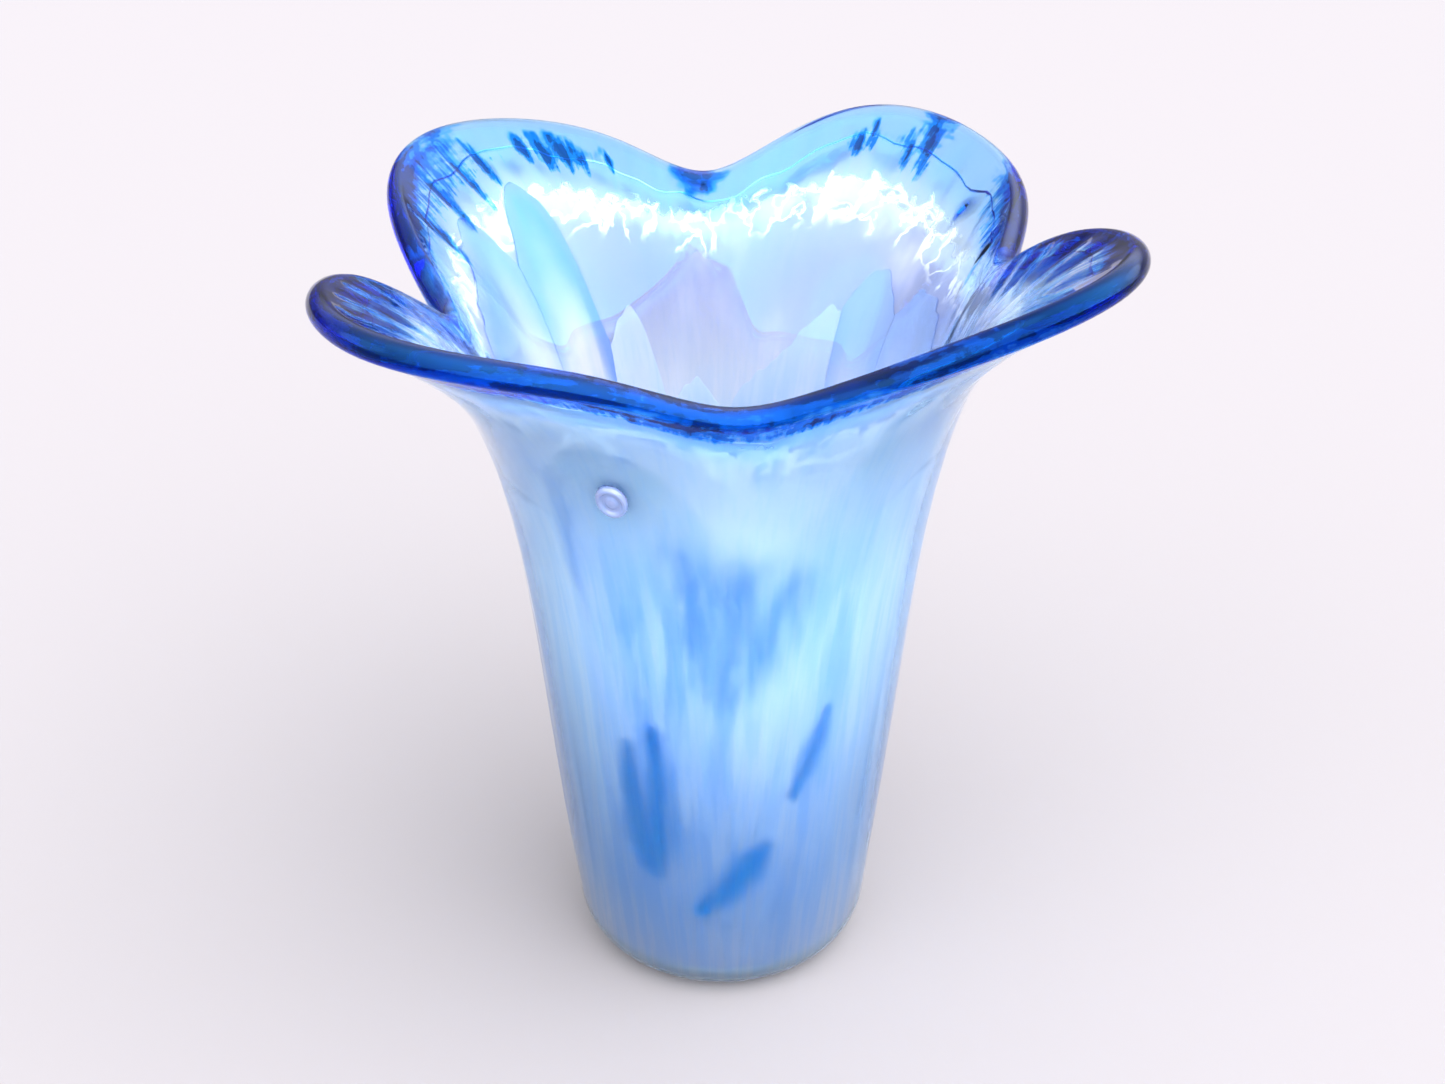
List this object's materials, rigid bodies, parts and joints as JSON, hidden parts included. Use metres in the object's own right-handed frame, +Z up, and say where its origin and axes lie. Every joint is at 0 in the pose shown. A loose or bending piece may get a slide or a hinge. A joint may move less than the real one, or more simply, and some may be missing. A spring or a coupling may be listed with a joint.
{
  "type": "flower-form art glass vase",
  "caption": "Free-blown lobed art glass vase: a tapered body on a flat foot that flares into a petal-like waved rim, in azure glass cased over an opal layer.",
  "frame": {"origin": "centre of the flat foot, on the surface the vase stands on", "axes": "+Z up along the body's axis; +X towards the dip between the two right-hand lobes; -Y towards the front dip, the side with the small seal to its left"},
  "size_m": [0.1846, 0.1883, 0.2394],
  "materials": {
    "azure_clear_glass": "polished, transparent azure",
    "opal_white_glass": "translucent white opal",
    "azure_petal_glass": "translucent azure",
    "azure_dark_glass": "translucent deep azure",
    "pale_seal_glass": "fire-polished, pale"
  },
  "bodies": {
    "root": {"outer_casing": "azure_clear_glass", "inner_gather": "azure_clear_glass", "opal_overlay": "opal_white_glass", "azure_petal_1": "azure_petal_glass", "azure_petal_2": "azure_petal_glass", "azure_petal_3": "azure_petal_glass", "azure_petal_4": "azure_petal_glass", "azure_petal_5": "azure_petal_glass", "azure_petal_6": "azure_petal_glass", "azure_petal_7": "azure_petal_glass", "azure_petal_8": "azure_petal_glass", "azure_petal_9": "azure_petal_glass", "azure_petal_10": "azure_petal_glass", "dark_streak_left": "azure_dark_glass", "dark_streak_slanted": "azure_dark_glass", "dark_streak_right": "azure_dark_glass", "dark_streak_centre": "azure_dark_glass", "seal": "pale_seal_glass"}
  },
  "joints": []
}
